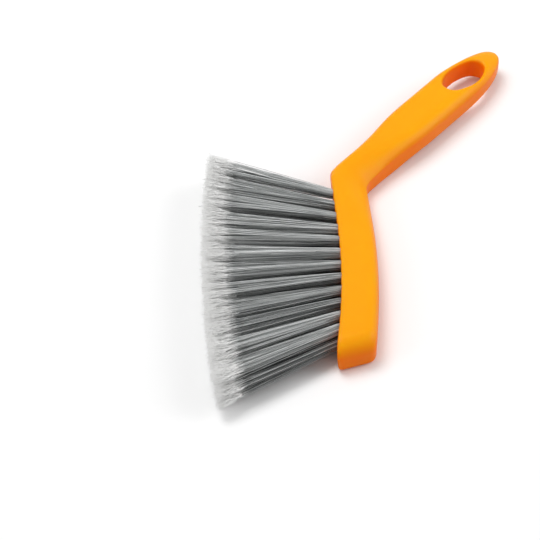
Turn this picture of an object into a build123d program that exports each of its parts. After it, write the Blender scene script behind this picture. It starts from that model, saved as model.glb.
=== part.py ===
from build123d import *
import math
import os
import random

# A hand broom, lying flat on its underside. All sizes are in millimetres and degrees.
# The handle points along +X. The head turns back from it, and the bristles fan out on the handle's left.
# The drawing starts at the outer corner of the bend, where the tuft face meets the handle's left side.
# The finished broom is moved so that the middle of its box stands on the origin.

# Handle
handle_length = 170.5
neck_width = 22.2
neck_length = 25.0
grip_width = 30.2
grip_start = 80.0
tip_length = 52.0
grip_thickness = 17.0
underside_rise_start = 34.0
underside_rise_length = 36.0

# Hang hole, an oval through the handle near its tip
hang_hole_length = 37.5
hang_hole_width = 20.0
hang_hole_end_radius = 7.5
hang_hole_from_tip = 38.0
hang_hole_rim_chamfer = 1.5

# Head
head_angle = 43.0
head_length = 162.8
head_straight_length = 50.0
head_arch_radius = 543.0
head_depth = 23.0
head_thickness = 20.5
head_end_slant = 26.0
face_draft = 5.0

# Rounding of the moulding
valley_radius = 15.0
top_edge_radius = 5.5
underside_edge_radius = 3.5
head_end_radius = 11.0
face_edge_radius = 1.6

# Tufts, set in holes in the tuft face in three staggered rows. Holes and tufts have eight flat sides,
# which keeps the many of them light.
row_names = ["lower", "middle", "upper"]
tufts_in_row = 12
row_spacing = 5.8
field_start = 15.1
field_from_end = 18.2
stagger_share = 0.5
tuft_hole_diameter = 5.0
tuft_hole_depth = 12.0
tuft_sides = 8

# Bristles, from the tuft holes to the trimmed end
bristle_length = 82.0
handle_side_lean = 23.7
far_side_lean = -28.0
trim_bow = 5.6
trim_thickness = 23.4
trim_above_floor = 0.7
tuft_clearance = 0.1
tuft_floor_gap = 0.4
tuft_stands_out = 1.2
levels_in_tuft = 3
strands_in_level = 4
strand_sides = 3
strand_root_radius = 0.36
strand_tip_radius = 0.8
strand_bedding = 1.0
scatter_share = 0.3
scatter_seed = 11

# Anchor wires, one across the fold of every tuft, nearly as long as the hole is wide
anchor_length_share = 0.92
anchor_height = 2.0
anchor_thickness = 0.5
anchor_from_floor = 1.6
anchor_clearance = 0.05

# How far cutters run past the faces that they go through
overrun = 5.0


def heading(angle):
    """Unit vector in the plan, at an angle from +X."""
    return Vector(math.cos(math.radians(angle)), math.sin(math.radians(angle)), 0)


def head_point(run, inset, height=0.0):
    """Point on the head, by its run along the tuft face from the bend and its inset towards the back."""
    corner = Vector(0, neck_width / 2, height)
    along = heading(180 + head_angle)
    if run <= head_straight_length:
        return corner + along * run + heading(head_angle - 90) * inset
    turned = math.degrees((run - head_straight_length) / head_arch_radius)
    centre = corner + along * head_straight_length - heading(head_angle - 90) * head_arch_radius
    return centre + heading(head_angle - 90 - turned) * (head_arch_radius + inset)


def face_point(run, height):
    """Point on the tuft face, which leans in towards the underside."""
    inset = (head_thickness - height) * math.tan(math.radians(face_draft))
    return head_point(run, inset, height)


def back_length():
    """Run of the head's back, shorter than the tuft face because the end is slanted."""
    return head_length - head_depth * math.tan(math.radians(head_end_slant))


def ease(start, end):
    """Two equal arcs from one point to another, both ends running along X."""
    middle = (Vector(start) + Vector(end)) / 2
    flat = Vector(1, 0, 0)
    return [TangentArc(start, middle, tangent=flat), TangentArc(end, middle, tangent=-flat)]


def plan_outline():
    """Outline of the moulding, seen from above."""
    neck = neck_width / 2
    grip = grip_width / 2
    tip_start = handle_length - tip_length
    arch_middle = (head_straight_length + head_length) / 2
    back_drop = head_point(0, head_depth).Y + neck

    bend = head_point(0, 0)
    face_bend = head_point(head_straight_length, 0)
    face_end = head_point(head_length, 0)
    back_end = head_point(back_length(), head_depth)
    back_bend = head_point(head_straight_length, head_depth)
    valley = head_point(back_drop / math.sin(math.radians(head_angle)), head_depth)

    edges = [
        Line(bend, face_bend),
        ThreePointArc(face_bend, head_point(arch_middle, 0), face_end),
        Line(face_end, back_end),
        ThreePointArc(back_end, head_point(arch_middle, head_depth), back_bend),
        Line(back_bend, valley),
        Line(valley, (neck_length, -neck)),
        *ease((neck_length, -neck), (grip_start, -grip)),
        Line((grip_start, -grip), (tip_start, -grip)),
        EllipticalCenterArc((tip_start, 0), tip_length, grip, start_angle=-90, arc_size=180),
        Line((tip_start, grip), (grip_start, grip)),
        *ease((neck_length, neck), (grip_start, grip)),
        Line((neck_length, neck), bend),
    ]
    outline = make_face(Wire(edges))
    return fillet(outline.vertices().sort_by_distance(valley)[0], valley_radius)


def side_profile():
    """Outline of the moulding, seen from the side: the underside rises from the head to the thinner grip."""
    rise = head_thickness - grip_thickness
    left = head_point(head_length, 0).X - head_depth
    right = handle_length + overrun
    rise_end = underside_rise_start + underside_rise_length
    side = -grip_width - head_length
    edges = [
        Line((left, side, 0), (underside_rise_start, side, 0)),
        *ease((underside_rise_start, side, 0), (rise_end, side, rise)),
        Line((rise_end, side, rise), (right, side, rise)),
        Line((right, side, rise), (right, side, head_thickness)),
        Line((right, side, head_thickness), (left, side, head_thickness)),
        Line((left, side, head_thickness), (left, side, 0)),
    ]
    return make_face(Wire(edges))


def edge_at(shape, point):
    """The edge of a shape that lies nearest to a point."""
    return shape.edges().sort_by_distance(point)[0]


def lean_face(block):
    """Lean the tuft face and the head's end in towards the underside, as they leave the mould."""
    middle = head_thickness / 2
    end = (head_point(head_length, 0, middle) + head_point(back_length(), head_depth, middle)) / 2
    arch = head_point((head_straight_length + head_length) / 2, 0, middle)
    straight = head_point(head_straight_length / 2, 0, middle)
    faces = [block.faces().sort_by_distance(point)[0] for point in (end, arch, straight)]
    return draft(faces, Plane((0, 0, head_thickness)), -face_draft)


def moulding():
    """The one-piece head and handle, rounded but not yet drilled."""
    prism = extrude(Pos(0, 0, -overrun) * plan_outline(), head_thickness + 2 * overrun)
    block = prism & extrude(side_profile(), 2 * (grip_width + head_length), dir=(0, 1, 0))
    block = lean_face(block)

    # The top of the end first, then the long rim of back and handle above and below, then the rim of the tuft face.
    # Each rounding runs on by itself along the edges that continue smoothly.
    end_face = head_point(head_length, 0, head_thickness)
    end_back = head_point(back_length(), head_depth, head_thickness)
    block = fillet(edge_at(block, (end_face + end_back) / 2), head_end_radius)
    back_top = head_point(head_length / 2, head_depth, head_thickness)
    block = fillet(edge_at(block, back_top), top_edge_radius)
    back_bottom = head_point(head_length / 2, head_depth)
    block = fillet(edge_at(block, back_bottom), underside_edge_radius)
    face_top = head_point(head_length / 2, 0, head_thickness)
    return fillet(edge_at(block, face_top), face_edge_radius)


def oval():
    """Outline of the hang hole: two flat side arcs that run smoothly into two end arcs."""
    radius = hang_hole_end_radius
    half_width = hang_hole_width / 2
    reach = hang_hole_length / 2 - radius
    side_radius = (reach**2 + half_width**2 - radius**2) / (2 * (half_width - radius))
    turn = Vector(reach, 0, 0) + Vector(reach, side_radius - half_width, 0).normalized() * radius
    back_turn = Vector(-turn.X, turn.Y, 0)
    side = Vector(0, half_width, 0)
    end = Vector(reach + radius, 0, 0)
    arcs = [
        ThreePointArc(turn, side, back_turn),
        ThreePointArc(back_turn, -end, -turn),
        ThreePointArc(-turn, -side, -back_turn),
        ThreePointArc(-back_turn, end, turn),
    ]
    return make_face(Wire(arcs))


def hang_hole(block):
    """Cut the oval hang hole and break its two rims."""
    centre = Vector(handle_length - hang_hole_from_tip, 0, 0)
    cutter = extrude(Pos(0, 0, -overrun) * Pos(centre) * oval(), head_thickness + 2 * overrun)
    block = block - cutter
    side = Vector(0, hang_hole_width / 2, 0)
    top = Vector(0, 0, head_thickness)
    bottom = Vector(0, 0, head_thickness - grip_thickness)
    rims = [edge_at(block, centre + side + top), edge_at(block, centre + side + bottom)]
    return chamfer(rims, hang_hole_rim_chamfer)


def field_run(share):
    """Run along the tuft face of a place in the tuft field, by its share of the field's length."""
    return field_start + share * (head_length - field_from_end - field_start)


def trim_point(share, height):
    """Point on the trimmed end of the bristles, by the share of the way along the tuft field."""
    square = head_angle + 90
    first = head_point(field_run(0), 0) + heading(square - handle_side_lean) * bristle_length
    last = head_point(field_run(1), 0) + heading(square - far_side_lean) * bristle_length
    chord = last - first
    outward = Vector(chord.Y, -chord.X, 0).normalized()
    bow = trim_bow * 4 * share * (1 - share)
    return first + chord * share + outward * bow + Vector(0, 0, height)


def corners(plane, radius):
    """The corners of a strand's section, on a circle in a plane."""
    step = 2 * math.pi / strand_sides
    turns = [step * side for side in range(strand_sides)]
    return [plane.from_local_coords((radius * math.cos(a), radius * math.sin(a), 0)) for a in turns]


def frustum(near, far):
    """A straight solid between two polygons with parallel sides."""
    faces = [Face(Wire.make_polygon(near)), Face(Wire.make_polygon(far))]
    for first, second in zip(range(len(near)), [*range(1, len(near)), 0]):
        side = [near[first], near[second], far[second], far[first]]
        faces.append(Face(Wire.make_polygon(side)))
    return Solid(Shell(faces))


class Tuft:
    """One tuft: where its hole is, which way it points and where its bristles end."""

    def __init__(self, row, place):
        rows = len(row_names)
        stagger = stagger_share * (row % 2)
        self.name = f"tuft_{row_names[row]}_{place + 1:02d}"
        self.share = (place + 1 / 2 + stagger) / tufts_in_row
        self.cell_share = 1 / tufts_in_row
        self.cell_height = (trim_thickness - trim_above_floor) / rows
        root_height = head_thickness / 2 + (row - (rows - 1) / 2) * row_spacing
        trim_height = trim_above_floor + (row + 1 / 2) * self.cell_height
        self.trim_height = trim_height
        self.root = face_point(field_run(self.share), root_height)
        self.way = (trim_point(self.share, trim_height) - self.root).normalized()
        self.across = Vector(-self.way.Y, self.way.X, 0).normalized()
        self.plane = Plane(self.root, x_dir=self.across, z_dir=self.way)

    def hole(self):
        """Cutter for the blind hole."""
        length = tuft_hole_depth + overrun
        base = self.plane.offset(-tuft_hole_depth)
        return extrude(base * RegularPolygon(tuft_hole_diameter / 2, tuft_sides), length)

    def anchor(self, clearance):
        """The anchor wire, or with a clearance the room that it takes."""
        middle = anchor_from_floor + anchor_height / 2 - tuft_hole_depth
        length = tuft_hole_diameter * anchor_length_share
        size = [part + 2 * clearance for part in (length, anchor_thickness, anchor_height)]
        return self.plane.offset(middle) * Box(*size)

    def strand(self, along, up, scatter):
        """One strand, from inside the plug to the trimmed end. Along and up are shares of the tuft, from -1 to 1."""
        plug_radius = tuft_hole_diameter / 2 - tuft_clearance
        packing = plug_radius * math.cos(math.pi / tuft_sides) - strand_root_radius
        rise = self.plane.y_dir
        start = self.plane.origin + self.way * (tuft_stands_out - strand_bedding)
        start += self.across * (along * math.sqrt(1 - up * up) * packing) + rise * (up * packing)
        along_share = along + scatter.uniform(-scatter_share, scatter_share) / strands_in_level
        up_share = up + scatter.uniform(-scatter_share, scatter_share) / levels_in_tuft
        end = trim_point(
            self.share + along_share * self.cell_share / 2,
            self.trim_height + up_share * self.cell_height / 2,
        )
        near = Plane(start, x_dir=self.across, z_dir=end - start)
        far = Plane(end, x_dir=self.across, z_dir=end - start)
        return frustum(corners(near, strand_root_radius), corners(far, strand_tip_radius))

    def solid(self, scatter):
        """The tuft: a plug packed into the hole, with a slot for the anchor, and the strands fused to it."""
        base = self.plane.offset(tuft_floor_gap - tuft_hole_depth)
        length = tuft_hole_depth - tuft_floor_gap + tuft_stands_out
        section = RegularPolygon(tuft_hole_diameter / 2 - tuft_clearance, tuft_sides)
        plug = extrude(base * section, length)
        plug -= self.anchor(anchor_clearance)
        strands = []
        for level in range(levels_in_tuft):
            up = (2 * level + 1) / levels_in_tuft - 1
            for place in range(strands_in_level):
                along = (2 * place + 1) / strands_in_level - 1
                strands.append(self.strand(along, up, scatter))
        return plug.fuse(*strands)


def main():
    scatter = random.Random(scatter_seed)
    tufts = [Tuft(row, place) for row in range(len(row_names)) for place in range(tufts_in_row)]
    holes = [tuft.hole() for tuft in tufts]

    pieces = {"handle_body": hang_hole(moulding()) - holes}
    for tuft in tufts:
        pieces[tuft.name] = tuft.solid(scatter)
    pieces["tuft_anchors"] = Compound([tuft.anchor(0) for tuft in tufts])

    box = Compound(list(pieces.values())).bounding_box()
    middle = box.center()
    os.makedirs("parts", exist_ok=True)
    for name, piece in pieces.items():
        export_step(Pos(-middle.X, -middle.Y, -box.min.Z) * piece, f"parts/{name}.step")


main()
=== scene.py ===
import math
import random

import bmesh
import bpy
import numpy as np
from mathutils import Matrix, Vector
from mathutils.kdtree import KDTree


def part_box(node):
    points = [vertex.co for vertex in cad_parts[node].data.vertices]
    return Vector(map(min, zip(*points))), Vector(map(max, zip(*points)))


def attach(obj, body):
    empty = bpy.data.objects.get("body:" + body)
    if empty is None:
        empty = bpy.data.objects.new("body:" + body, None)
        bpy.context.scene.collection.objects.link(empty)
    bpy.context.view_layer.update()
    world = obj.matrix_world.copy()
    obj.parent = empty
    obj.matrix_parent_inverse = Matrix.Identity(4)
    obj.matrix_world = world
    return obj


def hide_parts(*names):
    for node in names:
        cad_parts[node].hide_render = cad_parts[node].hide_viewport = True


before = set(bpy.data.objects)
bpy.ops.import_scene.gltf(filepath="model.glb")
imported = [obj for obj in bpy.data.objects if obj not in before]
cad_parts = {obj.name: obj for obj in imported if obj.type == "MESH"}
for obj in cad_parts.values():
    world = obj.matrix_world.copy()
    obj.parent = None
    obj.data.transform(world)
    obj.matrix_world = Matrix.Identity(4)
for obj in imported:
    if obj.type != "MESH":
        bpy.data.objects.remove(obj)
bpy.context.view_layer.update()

# A hand broom lying on a pale table. Lengths are in metres, angles in degrees.
mm = 0.001

# The layout of the head and the bristles, the same as in the part's drawing
handle_length = 170.5 * mm
grip_width = 30.2 * mm
neck_width = 22.2 * mm
head_angle = 43.0
head_length = 162.8 * mm
head_straight_length = 50.0 * mm
head_arch_radius = 543.0 * mm
head_thickness = 20.5 * mm
head_depth = 23.0 * mm
face_draft = 5.0
hang_hole_from_tip = 38.0 * mm
rows = 3
tufts_in_row = 12
row_spacing = 5.8 * mm
field_start = 15.1 * mm
field_from_end = 18.2 * mm
stagger_share = 0.5
bristle_length = 82.0 * mm
handle_side_lean = 23.7
far_side_lean = -28.0
trim_bow = 5.6 * mm
trim_thickness = 23.4 * mm
trim_above_floor = 0.7 * mm

# The moulding's mesh, and the walls on its near side that the roll of the top is measured from.
# The walls of the hang hole are left out by a field round its middle.
facet_join_distance = 0.01 * mm
moulding_cell = 0.8 * mm
wall_steepness = 0.3
wall_band_bottom = 5.0 * mm
wall_band_top = 12.0 * mm
hole_field_half_length = 24.0 * mm
hole_field_half_width = 12.0 * mm
handle_side_heading = -70.0
handle_side_match = 0.5
head_side_match = 0.8

# The moulding's soft top, which rolls down towards the near side and most of all in the valley
underside_steepness = -0.2
roll_bottom = 10.0 * mm
roll_width = 10.0 * mm
head_roll_depth = 1.1 * mm
handle_roll_depth = 2.0 * mm
valley_run = 8.0 * mm
valley_reach = 32.0 * mm
valley_roll_width = 22.0 * mm
valley_roll_depth = 8.0 * mm
smoothing_factor = 0.5
smoothing_rounds = 6
corner_reach = 7.0 * mm
corner_smoothing_rounds = 40

# One tuft: its strands, how wide it is in the hole and at the mouth, and how it spreads from there
row_names = ("lower", "middle", "upper")
strands_across = 13
strands_up = 8
tuft_radius = 2.35 * mm
mouth_radius = 3.0 * mm
root_depth = 3.0 * mm
tuft_swell = 0.08
swell_share = 0.012
fan_power = 1.15
section_roundness = 0.75
row_overlap = 1.35

# The bunches that a tuft's strands draw together in, by places from -1 to 1 across and up
bunches_in_tuft = 11
bunch_reach_across = 0.9
bunch_reach_up = 0.8
bunch_pull = 0.9
strand_end_scatter = 0.04
strand_end_limit = 0.98

# One strand, with the shares of its length at which it has a point before it splits
strand_sides = 4
strand_steps = (0.015, 0.05, 0.2, 0.45, 0.68)
strand_root_radius = 0.2 * mm
strand_split_radius = 0.16 * mm
strand_wave = 0.6 * mm
strand_wave_up = strand_wave / 3
split_share = 0.84
split_unevenness = 0.045
trim_unevenness = 0.8 * mm
ring_join_distance = 0.0001 * mm

# The thin hairs that a strand splits into
hairs_in_flag = 3
hair_start_step = 0.1 * mm
hair_start_radius = 0.13 * mm
hair_end_radius = 0.08 * mm
hair_spread = 1.4 * mm
hair_spread_up = hair_spread / 2
hair_curl = 1.0 * mm
hair_curl_up = hair_curl / 2
hair_floor_gap = 0.1 * mm

# The tone of each strand, from 0 for the darkest to 1 for the palest: a random part, painted shade between
# tufts and in the lower rows, and a painted highlight on the tufts near the handle
bunch_tint_share = 0.35
hair_tint_share = 0.6
tuft_tint_spread = 0.07
# Painted shade at the sides of tufts that face each other, and in the lower rows
tuft_side_share = 0.2
tuft_side_shade = 0.55
inner_row_shade = 0.04
# Painted highlight: the tufts near the handle are made paler
handle_side_painted_highlight = 0.15
fray_seed = 23

# Colours at their places along a value from 0 to 1
black = (0, 0, 0, 1)
white = (1, 1, 1, 1)
orange_top = [(0.3, (1.0, 0.37, 0.0, 1)), (0.7, (1.0, 0.405, 0.0, 1))]
# Painted shade: a deeper, redder copy of the orange that faces turning away from up get in place of the
# top's colour
orange_wall_painted_shade = [(0.3, (0.98, 0.19, 0.0, 1)), (0.7, (0.98, 0.21, 0.0, 1))]
painted_shade_to_top = [(0.15, black), (0.85, white)]
# The darkest greys are mostly reached by strands that the painted shade darkens
strand_greys = [
    (0.0, (0.05, 0.052, 0.051, 1)),
    (0.5, (0.54, 0.56, 0.555, 1)),
    (0.95, (0.86, 0.87, 0.865, 1)),
]
tip_greys = [(0.0, (0.4, 0.4, 0.39, 1)), (0.3, (1.0, 1.0, 0.99, 1))]
strand_to_tip = [(0.78, black), (0.85, white)]
wire_greys = [(0.3, (0.42, 0.42, 0.43, 1)), (0.7, (0.62, 0.62, 0.63, 1))]
table_grey = (0.8, 0.8, 0.8, 1)

# Noise in the finishes, in waves to the metre, with its detail, and the roughness or relief that it gives
cloud_scale, cloud_detail = 14, 3
sheen_scale, sheen_detail = 60, 4
sheen_low, sheen_high = 0.3, 0.42
grain_scale, grain_detail = 2600, 2
grain_strength, grain_depth = 0.12, 0.1 * mm
streak_scale, streak_detail, streak_stretch = 900, 3, (1, 1, 6)
wire_sheen_low, wire_sheen_high = 0.25, 0.4

# Camera, where the photograph was taken from
view_target = Vector((-85.1, -5.8, 20.5)) * mm
view_distance = 1.2384
view_heading = 38.83
view_elevation = 43.7
view_lens = 137.6
sensor_width = 36.0
view_reach = 20

# Light level of the white surroundings, and the table top, which fades into them
sky_light = 0.45
sky_seen = 1.0
table_half_width = 6
table_gap = 0.05 * mm
table_fade_start = 0.35
table_fade_end = 1.0

# The soft square lamps: place, width and power in watts
lamps = {
    "key": ((0.0, 0.75, 1.75), 1.1, 18),
    "side": ((-1.5, 0.9, 0.8), 1.0, 5),
    "fill": ((1.1, -1.1, 0.9), 1.2, 11),
}


def heading(angle):
    """Unit vector in the plan, at an angle from +X."""
    return Vector((math.cos(math.radians(angle)), math.sin(math.radians(angle)), 0))


def drawing_start():
    """Where the drawing's zero point, the outer corner of the bend, lies in the frame."""
    low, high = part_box("handle_body")
    return Vector((high.x - handle_length, high.y - grip_width / 2, 0))


start_point = drawing_start()


def head_point(run, inset, height=0.0):
    """Point on the head, by its run along the tuft face and its inset towards the back."""
    corner = start_point + Vector((0, neck_width / 2, height))
    along = heading(180 + head_angle)
    if run <= head_straight_length:
        return corner + along * run + heading(head_angle - 90) * inset
    turned = math.degrees((run - head_straight_length) / head_arch_radius)
    centre = corner + along * head_straight_length - heading(head_angle - 90) * head_arch_radius
    return centre + heading(head_angle - 90 - turned) * (head_arch_radius + inset)


def face_point(run, height):
    """Point on the tuft face, which leans in towards the underside."""
    return head_point(run, (head_thickness - height) * math.tan(math.radians(face_draft)), height)


def field_run(share):
    """Run along the tuft face, by the share of the tuft field's length."""
    return field_start + share * (head_length - field_from_end - field_start)


def trim_point(share, height):
    """Point on the trimmed end of the bristles, which bows outwards most at its middle."""
    square = head_angle + 90
    first = head_point(field_run(0), 0) + heading(square - handle_side_lean) * bristle_length
    last = head_point(field_run(1), 0) + heading(square - far_side_lean) * bristle_length
    chord = last - first
    outward = Vector((chord.y, -chord.x, 0)).normalized()
    return first + chord * share + outward * trim_bow * 4 * share * (1 - share) + Vector((0, 0, height))


def place_camera():
    """The camera looks down at the broom at the photograph's angle."""
    view = heading(view_heading) * math.cos(math.radians(view_elevation))
    view.z = -math.sin(math.radians(view_elevation))
    data = bpy.data.cameras.new("camera")
    data.lens = view_lens
    data.sensor_width = sensor_width
    data.clip_end = view_reach
    camera = bpy.data.objects.new("camera", data)
    bpy.context.scene.collection.objects.link(camera)
    camera.location = view_target - view * view_distance
    camera.rotation_euler = view.to_track_quat("-Z", "Y").to_euler()
    bpy.context.scene.camera = camera


class Finish:
    """A node material built up step by step around one plain shader."""

    def __init__(self, name):
        self.material = bpy.data.materials.new(name)
        self.material.use_nodes = True
        self.nodes = self.material.node_tree.nodes
        self.shader = self.nodes["Principled BSDF"]

    def node(self, kind, **settings):
        """A new node. Its settings are properties of the node, or the values of its inputs."""
        made = self.nodes.new(kind)
        for name, value in settings.items():
            if hasattr(made, name):
                setattr(made, name, value)
            else:
                made.inputs[name.replace("_", " ")].default_value = value
        return made

    def link(self, output, target):
        """One node's output into another's input."""
        self.material.node_tree.links.new(output, target)

    def set(self, **values):
        """Values on the shader's own sockets."""
        for name, value in values.items():
            self.shader.inputs[name.replace("_", " ")].default_value = value

    def ramp(self, value, stops):
        """Colours along a value from 0 to 1."""
        made = self.nodes.new("ShaderNodeValToRGB")
        while len(made.color_ramp.elements) < len(stops):
            made.color_ramp.elements.new(0.5)
        for element, (place, colour) in zip(made.color_ramp.elements, stops):
            element.position = place
            element.color = colour
        self.link(value, made.inputs["Fac"])
        return made.outputs["Color"]

    def noise(self, scale, detail, stretch=(1, 1, 1)):
        """Noise in the frame's own coordinates."""
        place = self.nodes.new("ShaderNodeTexCoord")
        mapping = self.node("ShaderNodeMapping")
        mapping.inputs["Scale"].default_value = stretch
        made = self.node("ShaderNodeTexNoise", Scale=scale, Detail=detail)
        self.link(place.outputs["Object"], mapping.inputs["Vector"])
        self.link(mapping.outputs["Vector"], made.inputs["Vector"])
        return made.outputs["Fac"]

    def bump(self, height, strength, distance):
        """Relief on the shader, from a height between 0 and 1."""
        made = self.node("ShaderNodeBump", Strength=strength, Distance=distance)
        self.link(height, made.inputs["Height"])
        self.link(made.outputs["Normal"], self.shader.inputs["Normal"])

    def between(self, value, low, high):
        """A value from 0 to 1 spread between two levels."""
        made = self.node("ShaderNodeMapRange")
        made.inputs["To Min"].default_value = low
        made.inputs["To Max"].default_value = high
        self.link(value, made.inputs["Value"])
        return made.outputs["Result"]

    def mix(self, share, first, second):
        """One colour over another. Each may be an output or a plain colour."""
        made = self.node("ShaderNodeMix", data_type="RGBA")
        # The node's sockets for numbers and vectors come before those for colours
        share_input, first_input, second_input = (made.inputs[index] for index in (0, 6, 7))
        for value, socket in ((share, share_input), (first, first_input), (second, second_input)):
            if hasattr(value, "is_output"):
                self.link(value, socket)
            else:
                socket.default_value = value
        return made.outputs[2]


def orange_plastic():
    """Satin moulded plastic, with painted shade deeper in tone on the walls that turn away from up, and with
    a very fine grain from the mould.
    """
    finish = Finish("orange_plastic")
    cloud = finish.noise(cloud_scale, cloud_detail)
    top = finish.ramp(cloud, orange_top)
    wall = finish.ramp(cloud, orange_wall_painted_shade)
    surface = finish.node("ShaderNodeNewGeometry")
    upward = finish.node("ShaderNodeSeparateXYZ")
    finish.link(surface.outputs["Normal"], upward.inputs["Vector"])
    # Painted shade: the deeper orange is mixed in as the surface turns away from up
    colour = finish.mix(finish.ramp(upward.outputs["Z"], painted_shade_to_top), wall, top)
    finish.link(colour, finish.shader.inputs["Base Color"])
    sheen = finish.between(finish.noise(sheen_scale, sheen_detail), sheen_low, sheen_high)
    finish.link(sheen, finish.shader.inputs["Roughness"])
    finish.set(Specular_IOR_Level=0.14)
    finish.set(Subsurface_Weight=0.3, Subsurface_Scale=0.006, Subsurface_Radius=(1, 0.25, 0.05))
    finish.bump(finish.noise(grain_scale, grain_detail), grain_strength, grain_depth)
    return finish.material


def grey_bristle():
    """Drawn plastic filament: grey, each strand in its own shade, and pale at the split tips."""
    finish = Finish("grey_bristle")
    place = finish.node("ShaderNodeUVMap", uv_map="strand")
    split = finish.node("ShaderNodeSeparateXYZ")
    finish.link(place.outputs["UV"], split.inputs["Vector"])
    along, tint = split.outputs["X"], split.outputs["Y"]
    body = finish.ramp(tint, strand_greys)
    tip = finish.ramp(tint, tip_greys)
    band = finish.ramp(along, strand_to_tip)
    finish.link(finish.mix(band, body, tip), finish.shader.inputs["Base Color"])
    finish.set(Roughness=0.3, Specular_IOR_Level=0.65)
    return finish.material


def anchor_wire():
    """Drawn steel wire, with faint lines along it."""
    finish = Finish("anchor_wire")
    streak = finish.noise(streak_scale, streak_detail, streak_stretch)
    finish.link(finish.ramp(streak, wire_greys), finish.shader.inputs["Base Color"])
    finish.link(finish.between(streak, wire_sheen_low, wire_sheen_high), finish.shader.inputs["Roughness"])
    finish.set(Metallic=1.0)
    return finish.material


def show(name, mesh, material):
    """A new piece of the broom, in place and riding on its body."""
    mesh.materials.clear()
    mesh.materials.append(material)
    piece = bpy.data.objects.new(name, mesh)
    bpy.context.scene.collection.objects.link(piece)
    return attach(piece, "root")


def joined_copy(node):
    """A CAD node's shape with its loose facets joined, as a new mesh."""
    shape = bmesh.new()
    shape.from_mesh(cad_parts[node].data)
    bmesh.ops.remove_doubles(shape, verts=shape.verts, dist=facet_join_distance)
    mesh = bpy.data.meshes.new(node + "_copy")
    shape.to_mesh(mesh)
    shape.free()
    return mesh


def evenly_meshed(mesh, cell):
    """The same closed shape in small even faces."""
    holder = bpy.data.objects.new("even", mesh)
    bpy.context.scene.collection.objects.link(holder)
    remesh = holder.modifiers.new("even", "REMESH")
    remesh.mode = "VOXEL"
    remesh.voxel_size = cell
    finished = holder.evaluated_get(bpy.context.evaluated_depsgraph_get())
    made = bpy.data.meshes.new_from_object(finished)
    bpy.data.objects.remove(holder)
    return made


def near_side(shape, hole, valley):
    """The walls at the handle's right and the head's back, as places to measure from in the plan."""
    handle_side, head_side = heading(handle_side_heading), heading(head_angle - 90)
    walls = [
        v for v in shape.verts
        if abs(v.normal.z) < wall_steepness and wall_band_bottom < v.co.z < wall_band_top
        and (
            abs(v.co.x - hole.x) > hole_field_half_length
            or abs(v.co.y - hole.y) > hole_field_half_width
        )
        and (
            v.co.x > valley.x and v.normal.dot(handle_side) > handle_side_match
            or v.co.x <= valley.x and v.normal.dot(head_side) > head_side_match
        )
    ]
    tree = KDTree(len(walls))
    for index, wall in enumerate(walls):
        tree.insert((wall.co.x, wall.co.y, 0), index)
    tree.balance()
    return tree


def moulding(material):
    """The one-piece head and handle, with the soft roll of its top towards the near side."""
    shape = bmesh.new()
    shape.from_mesh(evenly_meshed(joined_copy("handle_body"), moulding_cell))
    shape.normal_update()
    hole = start_point + Vector((handle_length - hang_hole_from_tip, 0, 0))
    valley = head_point(valley_run, head_depth)
    tree = near_side(shape, hole, valley)
    for vertex in shape.verts:
        if vertex.co.z < roll_bottom or vertex.normal.z < underside_steepness:
            continue
        place = Vector((vertex.co.x, vertex.co.y, 0))
        distance = tree.find(place)[2]
        softness = math.exp(-((place - Vector((valley.x, valley.y, 0))).length / valley_reach) ** 2)
        edge_depth = handle_roll_depth if place.x > valley.x else head_roll_depth
        width = roll_width + (valley_roll_width - roll_width) * softness
        depth = edge_depth + (valley_roll_depth - edge_depth) * softness
        if distance < width:
            lift = min(1, (vertex.co.z - roll_bottom) / (head_thickness - roll_bottom))
            vertex.co.z -= depth * lift * (1 - distance / width) ** 2
    bend = head_point(0, 0)
    corner = [v for v in shape.verts if math.dist(v.co.xy, bend.xy) < corner_reach]
    for verts, rounds in ((shape.verts, smoothing_rounds), (corner, corner_smoothing_rounds)):
        for _ in range(rounds):
            bmesh.ops.smooth_vert(
                shape, verts=verts, factor=smoothing_factor,
                use_axis_x=True, use_axis_y=True, use_axis_z=True,
            )
    for face in shape.faces:
        face.smooth = True
    mesh = bpy.data.meshes.new("moulding")
    shape.to_mesh(mesh)
    shape.free()
    piece = show("moulding", mesh, material)
    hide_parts("handle_body")


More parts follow.
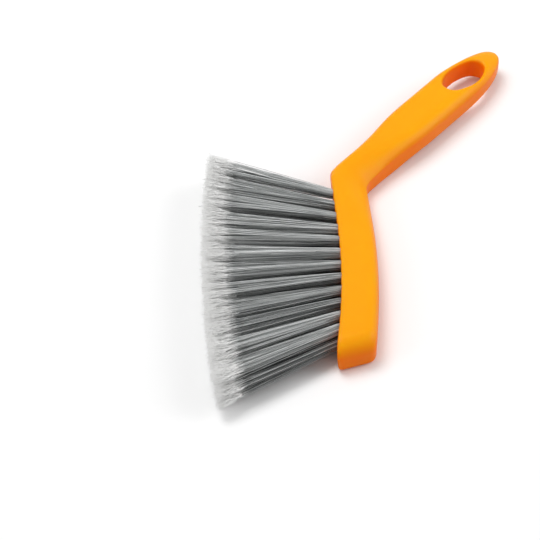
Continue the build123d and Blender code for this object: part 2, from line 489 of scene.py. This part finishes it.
class Bundle:
    """Thin strands, gathered as the splines of one curve and turned into one mesh."""

    def __init__(self, name):
        self.curve = bpy.data.curves.new(name, "CURVE")
        self.curve.dimensions = "3D"
        # With a depth of 1, the radius of each point is the strand's own radius there
        self.curve.bevel_depth = 1
        self.curve.bevel_resolution = 0
        self.curve.use_fill_caps = True
        self.tints = []
        self.sizes = []

    def strand(self, points, radii, tint):
        """One strand through its points, with its shade."""
        spline = self.curve.splines.new("POLY")
        spline.points.add(len(points) - 1)
        spline.points.foreach_set("co", [value for point in points for value in (*point, 1)])
        spline.points.foreach_set("radius", radii)
        self.tints.append(tint)
        self.sizes.append(len(points))

    def mesh(self, root, way, length):
        """One mesh of all strands. Its UV map holds the share of the length and the strand's tint."""
        holder = bpy.data.objects.new(self.curve.name, self.curve)
        bpy.context.scene.collection.objects.link(holder)
        mesh = bpy.data.meshes.new_from_object(holder)
        bpy.data.objects.remove(holder)
        bpy.data.curves.remove(self.curve)
        places = np.zeros(len(mesh.vertices) * 3)
        mesh.vertices.foreach_get("co", places)
        along = (places.reshape(-1, 3) - np.array(root)) @ np.array(way) / length
        # The mesh starts with the two caps of every strand, from the last strand to the first.
        # The rings of all strands follow, from the first strand to the last.
        caps = np.repeat(self.tints[::-1], 2 * strand_sides)
        tint = np.concatenate([caps, np.repeat(self.tints, np.array(self.sizes) * strand_sides)])
        corners = np.zeros(len(mesh.loops), int)
        mesh.loops.foreach_get("vertex_index", corners)
        while mesh.uv_layers:
            mesh.uv_layers.remove(mesh.uv_layers[0])
        layer = mesh.uv_layers.new(name="strand")
        layer.data.foreach_set("uv", np.stack([along[corners], tint[corners]], 1).ravel())
        shape = bmesh.new()
        shape.from_mesh(mesh)
        bmesh.ops.remove_doubles(shape, verts=shape.verts, dist=ring_join_distance)
        shape.to_mesh(mesh)
        shape.free()
        return mesh


def bunch_middles(scatter):
    """The places in a tuft where its strands draw together, across and up, each with a shade."""
    return [
        (
            scatter.uniform(-bunch_reach_across, bunch_reach_across),
            scatter.uniform(-bunch_reach_up, bunch_reach_up),
            scatter.random(),
        )
        for _ in range(bunches_in_tuft)
    ]


def rounded(s, t):
    """A place in a square from -1 to 1, moved to the like place in the circle inside it."""
    return s * math.sqrt(1 - t * t / 2), t * math.sqrt(1 - s * s / 2)


class TuftLine:
    """The middle line of one tuft, from the tuft face to its cell of the trimmed end."""

    def __init__(self, row, place):
        self.row = row
        self.place = place
        self.rows_above_middle = row - (rows - 1) / 2
        self.share = (place + 1 / 2 + stagger_share * (row % 2)) / tufts_in_row
        self.cell_height = (trim_thickness - trim_above_floor) / rows
        self.trim_height = trim_above_floor + (row + 1 / 2) * self.cell_height
        self.root = face_point(
            field_run(self.share), head_thickness / 2 + self.rows_above_middle * row_spacing
        )
        self.end = trim_point(self.share, self.trim_height)
        self.length = (self.end - self.root).length
        self.way = (self.end - self.root).normalized()
        self.across = Vector((-self.way.y, self.way.x, 0)).normalized()
        self.rise = self.way.cross(self.across)

    def cell_point(self, s, t):
        """Point on the trimmed end, from -1 to 1 across and up in this tuft's cell."""
        height = self.trim_height + t * self.cell_height / 2
        return trim_point(self.share + s / tufts_in_row / 2, height)


def strand_end(line, s, t, bunches, scatter):
    """Where a strand ends in its cell, pulled towards the nearest bunch, with that bunch's shade."""
    pull = bunch_pull * scatter.random()
    middle = min(bunches, key=lambda b: (b[0] - s) ** 2 + (b[1] - t) ** 2)
    s_end = s + (middle[0] - s) * pull
    t_end = t + (middle[1] - t) * pull
    s_round, t_round = rounded(s_end, t_end)
    s_end += (s_round - s_end) * section_roundness + scatter.gauss(0, strand_end_scatter)
    t_end += (t_round - t_end) * section_roundness + scatter.gauss(0, strand_end_scatter)
    t_end = max(-strand_end_limit, min(strand_end_limit, t_end))
    if line.rows_above_middle * t_end <= 0:
        t_end *= row_overlap
    return s_end, t_end, middle[2]


def strand_points(line, offset, mouth, end, scatter):
    """Points along a strand, from deep in the hole to where it splits."""
    fan = end - line.end
    wave = line.across * scatter.gauss(0, strand_wave) + line.rise * scatter.gauss(0, strand_wave_up)
    split = split_share + scatter.gauss(0, split_unevenness)
    points = [line.root - line.way * root_depth + offset * tuft_radius, mouth]
    for step in (*strand_steps, split):
        middle = line.root + (line.end - line.root) * step
        swell = 1 + tuft_swell * (1 - math.exp(-step / swell_share))
        spread = (mouth - line.root) * swell * (1 - step) + fan * step**fan_power
        points.append(middle + spread + wave * math.sin(math.pi * step))
    return points


def strand_shade(line, s):
    """Painted shade on a strand: darker in the lower rows, which the upper row shadows, and at a side of its
    tuft that faces another, where the tufts shadow each other.
    """
    shade = inner_row_shade if line.row < rows - 1 else 0
    if abs(s) > 1 - tuft_side_share and 0 <= line.place + math.copysign(1, s) < tufts_in_row:
        shade += tuft_side_shade * (1 - (1 - abs(s)) / tuft_side_share)
    return shade


def flag(bundle, line, split, end, tint, scatter):
    """The thin curled hairs of a strand, from where it splits to the trimmed end."""
    for hair in range(hairs_in_flag):
        start = split - line.way * hair * hair_start_step
        away = line.across * scatter.gauss(0, hair_spread) + line.rise * scatter.gauss(0, hair_spread_up)
        curl = line.across * scatter.gauss(0, hair_curl) + line.rise * scatter.gauss(0, hair_curl_up)
        tip = end + away + line.way * scatter.gauss(0, trim_unevenness)
        tip.z = max(hair_floor_gap, min(trim_thickness, tip.z))
        half = (start + tip) / 2 + curl
        half.z = max(hair_floor_gap, min(trim_thickness, half.z))
        hair_tint = hair_tint_share * scatter.random() + (1 - hair_tint_share) * tint
        bundle.strand([start, half, tip], [hair_start_radius, hair_start_radius, hair_end_radius], hair_tint)


def tuft(row, place, scatter, material):
    """One tuft: strands packed round in the hole, fanning out to their cell, with split tips."""
    name = row_names[row] + f"_{place + 1:02d}"
    line = TuftLine(row, place)
    bundle = Bundle("strands_" + name)
    bunches = bunch_middles(scatter)
    # A random tone for the tuft, plus a painted highlight that makes the tufts near the handle paler
    tuft_tone_and_highlight = scatter.gauss(0, tuft_tint_spread) + handle_side_painted_highlight * (1 - 2 * line.share)
    for i in range(strands_across):
        for j in range(strands_up):
            s = (2 * (i + scatter.random()) / strands_across) - 1
            t = (2 * (j + scatter.random()) / strands_up) - 1
            s_round, t_round = rounded(s, t)
            offset = line.across * s_round + line.rise * t_round
            mouth = line.root + offset * mouth_radius
            s_end, t_end, bunch_tint = strand_end(line, s, t, bunches, scatter)
            end = line.cell_point(s_end, t_end)
            end += (end - mouth).normalized() * scatter.gauss(0, trim_unevenness)
            points = strand_points(line, offset, mouth, end, scatter)
            radii = [strand_root_radius] * (len(points) - 1) + [strand_split_radius]
            tint = bunch_tint_share * bunch_tint + (1 - bunch_tint_share) * scatter.random() + tuft_tone_and_highlight
            # The strand's tone less the painted shade between tufts and rows
            bundle.strand(points, radii, tint - strand_shade(line, s))
            flag(bundle, line, points[-1], end, tint - tuft_tone_and_highlight, scatter)
    piece = show("strands_" + name, bundle.mesh(line.root, line.way, line.length), material)
    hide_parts("tuft_" + name)


def bristles(material):
    """All tufts, row by row from the lowest."""
    scatter = random.Random(fray_seed)
    for row in range(rows):
        for place in range(tufts_in_row):
            tuft(row, place, scatter, material)


def floor():
    """A wide pale table top. It is seen as white, and further off it glows like the surroundings."""
    shape = bmesh.new()
    bmesh.ops.create_grid(shape, x_segments=1, y_segments=1, size=table_half_width)
    bmesh.ops.translate(shape, verts=shape.verts, vec=(0, 0, -table_gap))
    mesh = bpy.data.meshes.new("table_top")
    shape.to_mesh(mesh)
    shape.free()
    finish = Finish("table_top")
    ray = finish.node("ShaderNodeLightPath")
    seen = finish.mix(ray.outputs["Is Camera Ray"], table_grey, white)
    finish.link(seen, finish.shader.inputs["Base Color"])
    place = finish.node("ShaderNodeTexCoord")
    distance = finish.node("ShaderNodeVectorMath", operation="LENGTH")
    finish.link(place.outputs["Object"], distance.inputs[0])
    far = finish.node("ShaderNodeMapRange", From_Min=table_fade_start, From_Max=table_fade_end)
    finish.link(distance.outputs["Value"], far.inputs["Value"])
    glow = finish.node("ShaderNodeMath", operation="MULTIPLY")
    finish.link(far.outputs["Result"], glow.inputs[0])
    finish.link(ray.outputs["Is Camera Ray"], glow.inputs[1])
    finish.link(glow.outputs["Value"], finish.shader.inputs["Emission Strength"])
    finish.set(Roughness=0.9, Specular_IOR_Level=0.1, Emission_Color=white)
    mesh.materials.append(finish.material)
    piece = bpy.data.objects.new("table_top", mesh)
    bpy.context.scene.collection.objects.link(piece)


def lamp(name, place, size, power):
    """A soft square lamp that faces the middle of the table."""
    data = bpy.data.lights.new(name, "AREA")
    data.size = size
    data.energy = power
    made = bpy.data.objects.new(name, data)
    bpy.context.scene.collection.objects.link(made)
    made.location = place
    made.rotation_euler = (-Vector(place)).to_track_quat("-Z", "Y").to_euler()


def studio():
    """Plain soft light, mostly from above and from the handle's left, in white surroundings."""
    world = bpy.data.worlds.new("studio")
    world.use_nodes = True
    sky = world.node_tree.nodes["Background"]
    sky.inputs["Color"].default_value = white
    ray = world.node_tree.nodes.new("ShaderNodeLightPath")
    level = world.node_tree.nodes.new("ShaderNodeMapRange")
    level.inputs["To Min"].default_value = sky_light
    level.inputs["To Max"].default_value = sky_seen
    world.node_tree.links.new(ray.outputs["Is Camera Ray"], level.inputs["Value"])
    world.node_tree.links.new(level.outputs["Result"], sky.inputs["Strength"])
    bpy.context.scene.world = world
    for name, (place, size, power) in lamps.items():
        lamp(name, place, size, power)
    bpy.context.scene.view_settings.view_transform = "Standard"


place_camera()
moulding(orange_plastic())
bristles(grey_bristle())
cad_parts["tuft_anchors"].data.materials.clear()
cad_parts["tuft_anchors"].data.materials.append(anchor_wire())
floor()
studio()
